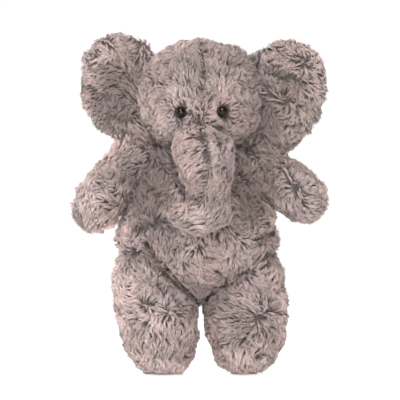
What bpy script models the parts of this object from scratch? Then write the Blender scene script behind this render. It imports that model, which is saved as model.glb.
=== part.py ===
"""Stuffed elephant: sewn plush covers, stuffing and two safety eyes.

Metres, +Z up, the face looks toward -Y. Left and right are the toy's own: the toy's right is at -X.
"""
import math

import bpy
import numpy as np
from mathutils import Matrix, Vector

# ---------------------------------------------------------------- dimensions
CLOTH = 0.0024          # backing cloth with the roots of its pile
GAP = 0.0004            # between cloth and stuffing, and between sewn neighbours
SEAM = 0.0012           # half the gap between two panels at a seam

TORSO_X = -0.0035       # the torso's middle
TORSO_Y = 0.0060
# height, half width, half depth, shift forward (-) or back (+)
TORSO_RINGS = [
    (0.0745, 0.0080, 0.0080, 0.0040),
    (0.0810, 0.0240, 0.0230, 0.0030),
    (0.0960, 0.0470, 0.0420, 0.0000),
    (0.1140, 0.0680, 0.0535, -0.0020),
    (0.1340, 0.0765, 0.0585, -0.0020),
    (0.1600, 0.0735, 0.0560, -0.0005),
    (0.1850, 0.0650, 0.0490, 0.0015),
    (0.2050, 0.0550, 0.0400, 0.0020),
    (0.2180, 0.0440, 0.0335, 0.0000),
    (0.2250, 0.0285, 0.0285, -0.0040),
]
BELLY_HALF_ANGLE = 40.0  # the belly panel either side of straight ahead

NECK = (0.0, 0.0020, 0.2330)
NECK_R = 0.0280

HEAD_C = (0.0, -0.0030, 0.2790)
HEAD_R = (0.0600, 0.0580, 0.0545)
HEAD_FLOOR = 0.2385     # the head's flat underside

EYE_R = 0.0060
EYE_AT = ((-0.0205, 0.2615), (0.0215, 0.2620))  # x, z
EYE_SINK = 0.0008

TRUNK_PIVOT = (0.0010, -0.0540, 0.2380)
TRUNK_ROOT_R = 0.0240
TIP_PIVOT = (0.0065, -0.0880, 0.1830)
TIP_R = 0.0205

EAR_AXIS_X = (-0.0600, 0.0620)
EAR_Y = 0.0070
EAR_EDGE_R = 0.0090
EAR_T = 0.0090          # half thickness

ARM_PIVOT = ((-0.0700, 0.0050, 0.2080), (0.0640, 0.0050, 0.2030))
ARM_DIR = ((-0.590, -0.06, -0.805), (0.815, -0.06, -0.575))
ARM_LENGTH = (0.0560, 0.0485)  # pivot to the middle of the rounded end
ARM_ROOT_R = 0.0215

LEG_PIVOT = ((-0.0450, 0.0040, 0.0930), (0.0420, 0.0040, 0.0920))
LEG_ROOT_R = 0.0385

TAIL_PIVOT = (-0.0035, 0.0585, 0.1130)
TAIL_R = 0.0080

SEG = 20                # points round the torso and the head

# ---------------------------------------------------------------- helpers
for old in list(bpy.data.objects):
    bpy.data.objects.remove(old, do_unlink=True)


def collection(name):
    c = bpy.data.collections.new(name)
    bpy.context.scene.collection.children.link(c)
    return c


TOY = collection("stuffed_elephant")
CUTTERS = collection("cutters")


def material(name, colour, rough, **more):
    m = bpy.data.materials.new(name)
    m.use_nodes = True
    p = m.node_tree.nodes["Principled BSDF"]
    p.inputs["Base Color"].default_value = (*colour, 1)
    p.inputs["Roughness"].default_value = rough
    for k, v in more.items():
        p.inputs[k].default_value = v
    return m


def add(name, verts, faces, mat=None, cutter=False, smooth=True):
    me = bpy.data.meshes.new(name)
    me.from_pydata([tuple(v) for v in verts], [], [tuple(f) for f in faces])
    me.update()
    o = bpy.data.objects.new(name, me)
    (CUTTERS if cutter else TOY).objects.link(o)
    if mat:
        me.materials.append(mat)
    if smooth:
        me.polygons.foreach_set("use_smooth", [True] * len(me.polygons))
    if cutter:
        o.hide_render = True
        o.display_type = "WIRE"
    return o


def subdivide(o, levels=1):
    s = o.modifiers.new("Subdivision", "SUBSURF")
    s.levels = s.render_levels = levels
    return o


def thicken(o, thickness=CLOTH):
    """Thickness grows to the inner side of an open surface."""
    s = o.modifiers.new("Solidify", "SOLIDIFY")
    s.thickness = thickness
    s.offset = -1
    s.use_even_offset = True
    return o


def cut(o, *cutters, operation="DIFFERENCE"):
    for c in cutters:
        b = o.modifiers.new("Cut " + c.name, "BOOLEAN")
        b.operation = operation
        b.object = c
        b.solver = "EXACT"
    return o


def origin(o, at):
    """The object's origin goes to a joint's axis, and the shape stays."""
    o.data.transform(Matrix.Translation(-Vector(at)))
    o.location = at
    return o


def ball(name, at, radius, segments=32, rings=20):
    """A closed sphere used to cut sockets."""
    v, f = [], []
    for i in range(rings + 1):
        a = math.pi * i / rings
        if i in (0, rings):
            v.append((at[0], at[1], at[2] + radius * math.cos(a)))
            continue
        for j in range(segments):
            b = 2 * math.pi * j / segments
            v.append(
                (
                    at[0] + radius * math.sin(a) * math.cos(b),
                    at[1] + radius * math.sin(a) * math.sin(b),
                    at[2] + radius * math.cos(a),
                )
            )
    ring = lambda i, j: 1 + (i - 1) * segments + j % segments
    for j in range(segments):
        f.append((0, ring(1, j), ring(1, j + 1)))
        for i in range(1, rings - 1):
            f.append((ring(i, j), ring(i + 1, j), ring(i + 1, j + 1), ring(i, j + 1)))
        f.append((len(v) - 1, ring(rings - 1, j + 1), ring(rings - 1, j)))
    return add(name, v, f, cutter=True, smooth=False)


def box(name, low, high):
    x0, y0, z0 = low
    x1, y1, z1 = high
    v = [(x, y, z) for x in (x0, x1) for y in (y0, y1) for z in (z0, z1)]
    f = [(0, 1, 3, 2), (4, 6, 7, 5), (0, 4, 5, 1), (2, 3, 7, 6), (0, 2, 6, 4), (1, 5, 7, 3)]
    return add(name, v, f, cutter=True, smooth=False)


def tube(rings, n, closed=True, cap_start=False, cap_end=False, first=0.0, last=360.0):
    """Rings are (centre, across vector, other across vector); outward faces, running from the first ring to the last."""
    v, f = [], []
    count = n if closed else n + 1
    for c, a, b in rings:
        for j in range(count):
            t = math.radians(first + (last - first) * j / n)
            v.append(Vector(c) + math.cos(t) * Vector(a) + math.sin(t) * Vector(b))
    for i in range(len(rings) - 1):
        for j in range(n):
            k = (j + 1) % count if closed else j + 1
            p, q = i * count, (i + 1) * count
            f.append((p + j, p + k, q + k, q + j))
    if cap_start:
        f.append([j for j in reversed(range(count))])
    if cap_end:
        f.append([(len(rings) - 1) * count + j for j in range(count)])
    return v, f


def along(direction, up=(0, 1, 0)):
    """Two unit vectors across a direction, so that (a, b, direction) is right-handed."""
    d = Vector(direction).normalized()
    a = Vector(up).cross(d).normalized()
    return a, d.cross(a).normalized(), d


# ---------------------------------------------------------------- materials
PILE = (0.318, 0.245, 0.224)
plush = {
    k: material("plush_" + k, tuple(c * s for c in PILE), 0.95)
    for k, s in (
        ("torso", 1.0), ("belly", 1.06), ("head", 1.04), ("head_back", 0.97), ("trunk", 1.08),
        ("trunk_tip", 1.10), ("ear", 0.98), ("ear_back", 0.94), ("arm", 1.02), ("leg", 1.0),
        ("neck", 0.92), ("tail", 0.96),
    )
}
stuffing = material("polyester_stuffing", (0.86, 0.85, 0.82), 0.95)
eye_resin = material("eye_resin", (0.030, 0.012, 0.006), 0.06, **{"Coat Weight": 0.6})
washer_resin = material("washer_plastic", (0.78, 0.78, 0.76), 0.45)

# ---------------------------------------------------------------- sockets
S = 0.0010              # running room in the ball-shaped sockets
ARM_SWEEP = (-42, 77)
LEG_SWEEP = (-19.0, 68.0)  # the leg's directions, from straight down, forward positive


def fan(name, pivot, radius, first, last, reach=0.16, slices=12, back=8, far=5):
    """The space that a round limb sweeps as it turns about an axis along X through its pivot."""
    rings = []
    for k in range(slices + 1):
        t = math.radians(-88 + 176 * k / slices)
        dx, s = radius * math.sin(t), radius * math.cos(t)
        pts = []
        for j in range(back + 1):  # round the pivot, behind the swept sector
            q = math.radians(last + 90 + (first + 180 - last) * j / back)
            pts.append((s * math.sin(q), s * math.cos(q)))
        for j in range(far + 1):
            q = math.radians(first + (last - first) * j / far)
            side = -1 + 2 * j / far
            pts.append((reach * math.sin(q) + side * s * math.cos(q), reach * math.cos(q) - side * s * math.sin(q)))
        rings.append([Vector((pivot[0] + dx, pivot[1] - y, pivot[2] - z)) for y, z in pts])
    n = len(rings[0])
    v = [p for r in rings for p in r]
    f = [tuple(range(n)), tuple(reversed(range(slices * n, (slices + 1) * n)))]
    for k in range(slices):
        for j in range(n):
            m = (j + 1) % n
            f.append((k * n + j, (k + 1) * n + j, (k + 1) * n + m, k * n + m))
    return add(name, v, f, cutter=True, smooth=False)


leg_sockets = [fan("leg_sweep_" + s, p, LEG_ROOT_R + S, *LEG_SWEEP) for s, p in zip("rl", LEG_PIVOT)]
arm_sockets = []
for s_, p_, d_ in zip("rl", ARM_PIVOT, ARM_DIR):
    # the space an arm sweeps as it swings about X
    sweep = ball("arm_sweep_" + s_, p_, ARM_ROOT_R + S, 20, 12)
    rods = []
    for i in range(9):
        turn = Matrix.Rotation(-math.radians(ARM_SWEEP[0] + (ARM_SWEEP[1] - ARM_SWEEP[0]) * i / 8), 3, "X")
        w_ = turn @ Vector(d_).normalized()
        a_, b_, c_ = Vector((1, 0, 0)).cross(w_).normalized(), None, None
        b_ = w_.cross(a_).normalized()
        v, f = [], []
        r_ = ARM_ROOT_R + 0.0012
        for k in (0.0, 0.052):
            for j in range(14):
                t = 2 * math.pi * (j + 0.5 * (i % 2)) / 14
                v.append(Vector(p_) + w_ * (k + 0.00011 * i) + (a_ * math.cos(t) + b_ * math.sin(t)) * (r_ + 0.00003 * i))
        f = [(j, (j + 1) % 14, 14 + (j + 1) % 14, 14 + j) for j in range(14)]
        f += [tuple(reversed(range(14))), tuple(range(14, 28))]
        rods.append(add(f"arm_rod_{s_}{i}", v, f, cutter=True, smooth=False))
    for c in rods:
        b = sweep.modifiers.new(c.name, "BOOLEAN")
        b.operation, b.object, b.solver = "UNION", c, "EXACT"
    arm_sockets.append(sweep)
neck_socket = ball("neck_socket", NECK, NECK_R + S, 22, 14)
trunk_socket = ball("trunk_socket", TRUNK_PIVOT, TRUNK_ROOT_R + S, 22, 14)
tip_socket = ball("tip_socket", TIP_PIVOT, TIP_R + S, 20, 12)
tail_socket = ball("tail_socket", TAIL_PIVOT, TAIL_R + S, 14, 10)

# ---------------------------------------------------------------- torso


def torso_rings(inset=0.0):
    out = []
    for i, (z, w, d, shift) in enumerate(TORSO_RINGS):
        z0, w0, d0, _ = TORSO_RINGS[max(i - 1, 0)]
        z1, w1, d1, _ = TORSO_RINGS[min(i + 1, len(TORSO_RINGS) - 1)]
        dr, dz = (w1 + d1 - w0 - d0) / 2, z1 - z0
        n = math.hypot(dr, dz)
        w, d, zi = max(w - inset * dz / n, 0.002), max(d - inset * dz / n, 0.002), z + inset * dr / n
        x = TORSO_X if z < 0.2 else TORSO_X * (0.225 - z) / 0.025
        out.append(((x, TORSO_Y + shift, zi), (w, 0, 0), (0, d, 0)))
    return out


seam = math.degrees(SEAM / 0.06)
crotch_trim = box("crotch_trim", (-0.04, -0.10, 0.05), (0.04, 0.016, 0.110))
half = BELLY_HALF_ANGLE
for name, mat, first, last, n in (
    ("torso_belly_panel", "belly", -90 - half + seam, -90 + half - seam, 6),
    ("torso_panel_left", "torso", -90 + half + seam, 90 - seam, 8),
    ("torso_panel_right", "torso", 90 + seam, 270 - half - seam, 8),
):
    v, f = tube(torso_rings(), n, closed=False, first=first, last=last)
    o = add(name, v, f, plush[mat])
    thicken(o)
    cut(o, *leg_sockets)
    if name != "torso_belly_panel":
        cut(o, crotch_trim, arm_sockets[1] if name.endswith("left") else arm_sockets[0], tail_socket)
    cut(o, neck_socket)

rings = torso_rings(CLOTH + 0.0014)
v, f = tube(rings, SEG, cap_start=True, cap_end=True)
cut(add("torso_stuffing", v, f, stuffing), *leg_sockets, *arm_sockets, neck_socket, tail_socket)

# ---------------------------------------------------------------- neck
steps = 6
up = []
for i in range(steps + 1):
    a = math.radians(-38 + 76 * i / steps)
    up.append(((NECK[0], NECK[1], NECK[2] + NECK_R * math.sin(a)), (NECK_R * math.cos(a), 0, 0), (0, NECK_R * math.cos(a), 0)))
v, f = tube(up, 22)
origin(thicken(add("neck_band", v, f, plush["neck"]), 0.0020), NECK)
r = NECK_R - 0.0020 - GAP
inner = []
for i in range(9):
    a = math.radians(-75 + 150 * i / 8)
    inner.append(((NECK[0], NECK[1], NECK[2] + r * math.sin(a)), (r * math.cos(a), 0, 0), (0, r * math.cos(a), 0)))
v, f = tube(inner, 20, cap_start=True, cap_end=True)
origin(add("neck_stuffing", v, f, stuffing), NECK)

# ---------------------------------------------------------------- head


def head_rings(inset=0.0, low=-45.0, high=86.0, n=9):
    floor = HEAD_FLOOR + inset
    out = [
        ((HEAD_C[0], NECK[1], floor + 0.0004), (0.0292 - 0.4 * inset, 0, 0), (0, 0.0292 - 0.4 * inset, 0)),
        ((HEAD_C[0], NECK[1] - 0.0030, floor - 0.0004), (0.0340 - 0.6 * inset, 0, 0), (0, 0.0340 - 0.6 * inset, 0)),
    ]
    for i in range(n):
        a = math.radians(low + (high - low) * i / (n - 1))
        rx, ry, rz = (r - inset for r in HEAD_R)
        # fuller cheeks than a plain ellipsoid
        full = 1 + 0.035 * math.cos(2 * a)
        out.append(
            (
                (HEAD_C[0], HEAD_C[1] + 0.004 * math.sin(a), HEAD_C[2] + rz * math.sin(a)),
                (rx * math.cos(a) * full, 0, 0),
                (0, ry * math.cos(a) * full, 0),
            )
        )
    return out


GUSSET = 15.0  # the side seams lie this far in front of the ears
hs = math.degrees(SEAM / 0.055)
ear_slots = []
for k, x in enumerate(EAR_AXIS_X):
    zc = HEAD_C[2]
    rr = EAR_EDGE_R + 0.0020
    v, f = tube(
        [((x, EAR_Y, zc - 0.050), (rr, 0, 0), (0, rr, 0)), ((x, EAR_Y, zc + 0.050), (rr, 0, 0), (0, rr, 0))],
        20, cap_start=True, cap_end=True,
    )
    ear_slots.append(add("ear_slot_" + "rl"[k], v, f, cutter=True, smooth=False))

eye_cutters, eye_frames = [], []
for k, (x, z) in enumerate(EYE_AT):
    a = math.asin((z - HEAD_C[2]) / HEAD_R[2])
    full = 1 + 0.035 * math.cos(2 * a)
    wx, wy = HEAD_R[0] * math.cos(a) * full, HEAD_R[1] * math.cos(a) * full
    y = HEAD_C[1] + 0.004 * math.sin(a) - wy * math.sqrt(1 - (x / wx) ** 2)
    normal = Vector((x / wx**2, (y - HEAD_C[1]) / wy**2, (z - HEAD_C[2]) / HEAD_R[2] ** 2)).normalized()
    normal = (normal + Vector((0, -0.8, 0))).normalized()
    at = Vector((x, y, z))
    a_, b_, d_ = along(normal, up=(0, 0, 1))
    eye_frames.append((at, a_, b_, d_))
    rr = 0.0021
    v, f = tube([(at - d_ * 0.030, a_ * rr, b_ * rr), (at + d_ * 0.01, a_ * rr, b_ * rr)], 16, cap_start=True, cap_end=True)
    eye_cutters.append(add("eye_hole_" + "rl"[k], v, f, cutter=True, smooth=False))
washer_cutters = []
for k, (at, a_, b_, d_) in enumerate(eye_frames):
    rr = 0.0063
    v, f = tube([(at - d_ * 0.0175, a_ * rr, b_ * rr), (at - d_ * 0.0015, a_ * rr, b_ * rr)], 20, cap_start=True, cap_end=True)
    washer_cutters.append(add("washer_room_" + "rl"[k], v, f, cutter=True, smooth=False))

for name, mat, first, last, n in (
    ("head_panel_right", "head", 180 + GUSSET + hs, 270 - hs, 6),
    ("head_panel_left", "head", -90 + hs, -GUSSET - hs, 6),
    ("head_back_panel", "head_back", -GUSSET + hs, 180 + GUSSET - hs, 12),
):
    v, f = tube(head_rings(), n, closed=False, first=first, last=last)
    o = thicken(add(name, v, f, plush[mat]))
    cut(o, neck_socket)
    if name == "head_back_panel":
        cut(o, *ear_slots)
    else:
        cut(o, trunk_socket, eye_cutters[0 if name.endswith("right") else 1])

v, f = tube(head_rings(CLOTH + 0.0012, low=-44, high=80, n=9), SEG, cap_start=True, cap_end=True)
cut(add("head_stuffing", v, f, stuffing), neck_socket, trunk_socket, *ear_slots, *eye_cutters, *washer_cutters)

for k, (at, a_, b_, d_) in enumerate(eye_frames):
    side = ("right", "left")[k]
    base = at + d_ * 0.0009
    prof = [(0.0155, 0.0), (0.0155, 0.0014), (0.0, 0.0016), (0.0, EYE_R * 0.93), (-0.0008, EYE_R)]
    for q in range(1, 5):
        t = math.radians(90 * q / 5)
        prof.append((-0.0008 - 0.0038 * math.sin(t), EYE_R * math.cos(t)))
    rs = [(base - d_ * p[0], a_ * max(p[1], 0.0005), b_ * max(p[1], 0.0005)) for p in prof]
    v, f = tube(rs, 16, cap_start=True, cap_end=True)
    add("eye_" + side, v, f, eye_resin)
    inner_r, outer_r, near, far = 0.00175, 0.0058, 0.0075, 0.0092
    prof = [(near, inner_r), (near, outer_r), (far, outer_r), (far, inner_r)]
    rs = [(base - d_ * p[0], a_ * p[1], b_ * p[1]) for p in prof]
    v, f = tube(rs + [rs[0]], 16)
    n_ = 16
    # the last ring is the first ring again
    f = [tuple(i if i < 4 * n_ else i - 4 * n_ for i in q) for q in f]
    add("eye_washer_" + side, v[: 4 * n_], [tuple(reversed(q)) for q in f], washer_resin)

# ---------------------------------------------------------------- trunk


def bezier(points, t):
    points = [Vector(p) for p in points]
    while len(points) > 1:
        points = [a.lerp(b, t) for a, b in zip(points, points[1:])]
    return points[0]


BALL_END = [(math.sin(math.radians(t)), math.cos(math.radians(t))) for t in (28, 54, 74)]


def limb(name, pivot, root_r, path, radii, mat, open_angle=28.0, n=14, up=(0, 1, 0), root_rings=3, end=BALL_END, advance=None, end_way=None, loose=0.0007):
    """A cloth tube that begins as a ball round its pivot, open where it is sewn on, and its stuffing. end lists how far each closing ring lies past the path's last point, and how wide it is, both as shares of the last radius; with none the far end stays open."""
    pivot = Vector(pivot)
    pts = [Vector(p) for p in path]
    made = []
    for inset, hole in ((0.0, True), (CLOTH + GAP + loose, False)):
        rings = []
        a_, b_, d_ = along(pts[0] - pivot, up)
        start = open_angle if hole else 12.0
        rr = root_r - inset
        for i in range(root_rings + 1):
            t = math.radians(start + (80 - start) * i / root_rings)
            rings.append((pivot - d_ * rr * math.cos(t), a_ * rr * math.sin(t), b_ * rr * math.sin(t)))
        for i, p in enumerate(pts):
            t0 = (pts[min(i + 1, len(pts) - 1)] - pts[max(i - 1, 0)]) if i else d_
            a2, b2, d2 = along(end_way if end_way and i == len(pts) - 1 else t0, up)
            rx, ry = radii[i] if isinstance(radii[i], tuple) else (radii[i], radii[i])
            rings.append((p, a2 * (rx - inset), b2 * (ry - inset)))
        reach = advance or min(rx, ry)
        for far, scale in end:
            rings.append((p + d2 * far * (reach - inset), a2 * (rx - inset) * scale, b2 * (ry - inset) * scale))
        v, f = tube(rings, n, cap_start=not hole, cap_end=bool(end) or not hole)
        o = add(name + ("_cover" if hole else "_stuffing"), v, f, mat if hole else stuffing)
        if hole:
            thicken(o)
        made.append(origin(o, pivot))
    return made


T = Vector(TRUNK_PIVOT)
P2 = Vector(TIP_PIVOT)
d = P2 - T
cover, fill = limb(
    "trunk", T, TRUNK_ROOT_R,
    [T + d * 0.08, T + d * 0.28 + Vector((0.0005, -0.002, 0)), T + d * 0.50 + Vector((0.001, -0.003, 0)), T + d * 0.70, T + d * 0.87],
    [TRUNK_ROOT_R * 0.998, 0.0238, 0.0234, 0.0228, 0.0222], plush["trunk"], open_angle=34, n=16, end=(),
)
cut(cover, tip_socket)
cut(fill, tip_socket)
limb(
    "trunk_tip", P2, TIP_R,
    [P2 + Vector((-0.0005, 0.0, -0.003)), P2 + Vector((-0.004, -0.001, -0.014)), P2 + Vector((-0.011, -0.002, -0.0215)), P2 + Vector((-0.0200, -0.0025, -0.0225))],
    [0.0204, 0.0196, 0.0176, 0.0150], plush["trunk_tip"], open_angle=34, n=14, loose=0.0032,
)

# ---------------------------------------------------------------- ears


def disc(centre, half, t, inset=0.0, side=-1, n=18):
    """A rounded disc's front (side -1) or back (side 1) face, from its rim to its middle, on the plane y = EAR_Y."""
    cx, cz = centre
    a, b = half
    depth = [0.0, 0.30, 0.64, 1.0]
    rings = []
    for k in depth:
        q = math.radians(90 * k)
        off = inset + (t - inset) * (1 - math.cos(q))
        y = EAR_Y + side * (SEAM + (t - inset - SEAM) * math.sin(q))
        ring = []
        for j in range(n):
            w = 2 * math.pi * j / n
            nx, nz = math.cos(w) / a, math.sin(w) / b
            s = math.hypot(nx, nz)
            ring.append((cx + a * math.cos(w) - off * nx / s, y, cz + b * math.sin(w) - off * nz / s))
        rings.append(ring)
    rings.append([(cx + (x - cx) * 0.45, y + side * 0.0005, cz + (z - cz) * 0.45) for x, y, z in rings[3]])
    v = [p for r in rings for p in r]
    f = []
    for i in range(len(rings) - 1):
        for j in range(n):
            m = (j + 1) % n
            q = (i * n + j, (i + 1) * n + j, (i + 1) * n + m, i * n + m)
            f.append(tuple(reversed(q)) if side < 0 else q)
    last = [(len(rings) - 1) * n + j for j in range(n)]
    f.append(tuple(last) if side < 0 else tuple(reversed(last)))
    return v, f, n


EARS = (("right", (-0.0865, 0.2890), (0.0345, 0.0510)), ("left", (0.0900, 0.2785), (0.0360, 0.0550)))
for k, (side_name, centre, half_) in enumerate(EARS):
    pivot = (EAR_AXIS_X[k], EAR_Y, centre[1])
    for side, which, mat in ((-1, "front", "ear"), (1, "back", "ear_back")):
        v, f, n = disc(centre, half_, EAR_T, side=side)
        o = add(f"ear_{side_name}_{which}_panel", v, f, plush[mat])
        origin(thicken(o, 0.0022), pivot)
    fv, ff, n = disc(centre, half_, EAR_T, inset=0.0022 + GAP, side=-1)
    bv, bf, n = disc(centre, half_, EAR_T, inset=0.0022 + GAP, side=1)
    v = fv + bv
    f = ff + [tuple(i + len(fv) for i in q) for q in bf]
    for j in range(n):
        m = (j + 1) % n
        f.append((j, j + len(fv), m + len(fv), m))
    origin(add(f"ear_{side_name}_padding", v, f, stuffing), pivot)

# ---------------------------------------------------------------- arms
for k, side_name in enumerate(("right", "left")):
    p = Vector(ARM_PIVOT[k])
    d = Vector(ARM_DIR[k]).normalized()
    L = ARM_LENGTH[k]
    sag = Vector((0, 0, -0.002))
    limb(
        "arm_" + side_name, p, ARM_ROOT_R,
        [p + d * 0.004, p + d * L * 0.34 - sag * 0.4, p + d * L * 0.68 - sag * 0.3, p + d * L],
        [ARM_ROOT_R * 0.995, 0.0212, 0.0216, 0.0206], plush["arm"], open_angle=32, n=14,
    )

# ---------------------------------------------------------------- legs
for k, side_name in enumerate(("right", "left")):
    p = Vector(LEG_PIVOT[k])
    dx = (0.0070, 0.0005)[k]
    limb(
        "leg_" + side_name, p, LEG_ROOT_R,
        [p + Vector((0, 0, -0.006)), Vector((p.x + dx * 0.2, p.y - 0.002, 0.066)), Vector((p.x + dx * 0.6, p.y - 0.005, 0.046)), Vector((p.x + dx, p.y - 0.008, 0.0300))],
        [LEG_ROOT_R * 0.995, 0.0380, (0.0365, 0.0385), (0.0335, 0.0380)], plush["leg"], open_angle=30, n=18,
        end=((0.34, 0.955), (0.66, 0.84), (0.88, 0.68), (1.0, 0.54)), advance=0.0300, end_way=(0, 0, -1),
    )

# ---------------------------------------------------------------- tail
p = Vector(TAIL_PIVOT)
d = Vector((0.05, 0.62, -0.78)).normalized()
cover, fill = limb("tail", p, TAIL_R, [p + d * 0.002, p + d * 0.014, p + d * 0.028], [TAIL_R * 0.995, 0.0074, 0.0080], plush["tail"], open_angle=34, n=10, root_rings=2)

# the frame's origin lies under the middle of the whole toy
SHIFT = Vector((-0.0012622, 0.0122633, 0.0))
for o in list(TOY.objects) + list(CUTTERS.objects):
    o.location += SHIFT
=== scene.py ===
"""Stuffed elephant: padded covers, their long pile as modelled tufts, seams and glossy eyes.

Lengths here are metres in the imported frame. Shapes are laid out about the toy's own middle line and moved by O.
"""
import math

import bpy
import numpy as np
from mathutils import Matrix, Vector
from mathutils.bvhtree import BVHTree


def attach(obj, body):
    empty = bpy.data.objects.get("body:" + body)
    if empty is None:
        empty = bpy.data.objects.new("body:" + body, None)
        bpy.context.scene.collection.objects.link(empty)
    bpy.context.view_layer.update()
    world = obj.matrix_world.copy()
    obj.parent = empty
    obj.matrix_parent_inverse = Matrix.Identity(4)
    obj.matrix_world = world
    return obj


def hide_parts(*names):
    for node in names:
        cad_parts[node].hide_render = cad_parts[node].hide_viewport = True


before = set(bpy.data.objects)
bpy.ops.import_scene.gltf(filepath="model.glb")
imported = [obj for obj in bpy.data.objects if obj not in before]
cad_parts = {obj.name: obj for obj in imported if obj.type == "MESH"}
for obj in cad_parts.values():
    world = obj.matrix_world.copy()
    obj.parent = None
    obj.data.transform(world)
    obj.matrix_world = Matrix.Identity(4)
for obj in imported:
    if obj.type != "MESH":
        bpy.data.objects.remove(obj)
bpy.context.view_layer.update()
O = np.array([-0.0012622, 0.0122633, 0.0])
MM = 0.001


# ------------------------------------------------------------------ noise
class Waves:
    """Smooth repeatable noise: a sum of plane waves of about one wavelength."""

    def __init__(self, seed, wavelength, terms=18, channels=1):
        r = np.random.default_rng(seed)
        k = r.normal(size=(terms, 3))
        k /= np.linalg.norm(k, axis=1, keepdims=True)
        self.k = k * (2 * np.pi / wavelength) * r.uniform(0.6, 1.5, (terms, 1))
        self.a = r.normal(size=(terms, channels)) * math.sqrt(2 / terms)
        self.p = r.uniform(0, 2 * np.pi, terms)

    def __call__(self, x):
        out = np.sin(x @ self.k.T + self.p) @ self.a
        return out[:, 0] if out.shape[1] == 1 else out


def unit(v):
    return v / np.maximum(np.linalg.norm(v, axis=-1, keepdims=True), 1e-12)


def smooth(a, b, x):
    t = np.clip((x - a) / (b - a), 0, 1)
    return t * t * (3 - 2 * t)


# ------------------------------------------------------------------ surfaces
def catmull(p, n):
    """n points along a smooth curve through p's rows."""
    p = np.asarray(p, float)
    m = len(p)
    t = np.linspace(0, m - 1, n)
    i = np.minimum(t.astype(int), m - 2)
    f = (t - i)[:, None]
    g = lambda k: p[np.clip(k, 0, m - 1)]
    p0, p1, p2, p3 = g(i - 1), g(i), g(i + 1), g(i + 2)
    p0 = np.where((i == 0)[:, None], 2 * p1 - p2, p0)
    p3 = np.where((i == m - 2)[:, None], 2 * p2 - p1, p3)
    return 0.5 * (2 * p1 + (p2 - p0) * f + (2 * p0 - 5 * p1 + 4 * p2 - p3) * f**2 + (3 * p1 - p0 - 3 * p2 + p3) * f**3)


class Skin:
    """A closed padded cover: its points, faces and outward normals."""

    def __init__(self, v, f):
        self.v = np.asarray(v, float)
        self.f = [tuple(q) for q in f]
        tri = []
        for q in self.f:
            for k in range(1, len(q) - 1):
                tri.append((q[0], q[k], q[k + 1]))
        self.t = np.array(tri)
        self.update()

    def update(self):
        a, b, c = (self.v[self.t[:, k]] for k in range(3))
        n = np.cross(b - a, c - a)
        self.area = np.linalg.norm(n, axis=1) / 2
        vn = np.zeros_like(self.v)
        for k in range(3):
            np.add.at(vn, self.t[:, k], n)
        self.n = unit(vn)
        self.tree = None

    def push(self, amount):
        self.v = self.v + self.n * np.asarray(amount)[:, None]
        self.update()

    def bvh(self):
        if self.tree is None:
            self.tree = BVHTree.FromPolygons([tuple(p) for p in self.v], [tuple(int(i) for i in q) for q in self.t])
        return self.tree

    def depth(self, pts):
        """How far each point lies under the surface; negative outside."""
        tree = self.bvh()
        out = np.empty(len(pts))
        for i, p in enumerate(pts):
            at, n, _, d = tree.find_nearest(Vector(p))
            out[i] = d if (Vector(p) - at).dot(n) < 0 else -d
        return out

    def hug(self, pts, high):
        """Points moved to a given height over the nearest place of the surface."""
        tree = self.bvh()
        out = np.empty_like(pts)
        for i, p in enumerate(pts):
            at, n, _, _ = tree.find_nearest(Vector(p))
            out[i] = at + n * high[i]
        return out

    def front(self, x, z):
        """The point of the surface seen from the front at this place."""
        hit = self.bvh().ray_cast(Vector((x, -0.5, z)), Vector((0, 1, 0)))[0]
        return None if hit is None else np.array(hit)

    def mesh(self, name, mat):
        me = bpy.data.meshes.new(name)
        me.from_pydata((self.v + O).tolist(), [], self.f)
        me.polygons.foreach_set("use_smooth", [True] * len(me.polygons))
        me.materials.append(mat)
        me.update()
        o = bpy.data.objects.new(name, me)
        bpy.context.scene.collection.objects.link(o)
        return o


def loft(stations, rings, seg):
    """Stations are (centre, side vector, other side vector); the first and last are poles."""
    flat = np.array([np.concatenate([np.array(c, float), np.array(a, float), np.array(b, float)]) for c, a, b in stations])
    s = catmull(flat, rings)
    th = np.linspace(0, 2 * np.pi, seg, endpoint=False)
    v = [flat[0][:3]]
    for r in s[1:-1]:
        v.extend(r[None, :3] + np.cos(th)[:, None] * r[None, 3:6] + np.sin(th)[:, None] * r[None, 6:9])
    v.append(flat[-1][:3])
    k = rings - 2
    f = [(0, 1 + (j + 1) % seg, 1 + j) for j in range(seg)]
    for i in range(k - 1):
        for j in range(seg):
            m = (j + 1) % seg
            f.append((1 + i * seg + j, 1 + i * seg + m, 1 + (i + 1) * seg + m, 1 + (i + 1) * seg + j))
    last = len(v) - 1
    f += [(last, 1 + (k - 1) * seg + j, 1 + (k - 1) * seg + (j + 1) % seg) for j in range(seg)]
    skin = Skin(v, f)
    c = skin.v.mean(0)
    if ((skin.v - c) * skin.n).sum() < 0:
        skin = Skin(v, [tuple(reversed(q)) for q in f])
    return skin


def upright(rows, rings, seg, x=0.0):
    """Rows are (height, half width, half depth, middle's y, middle's x) in mm."""
    out = []
    for r in rows:
        z, w, d, y = r[:4]
        cx = r[4] if len(r) > 4 else x
        out.append(((cx * MM, y * MM, z * MM), (w * MM, 0, 0), (0, d * MM, 0)))
    return loft(out, rings, seg)


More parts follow.
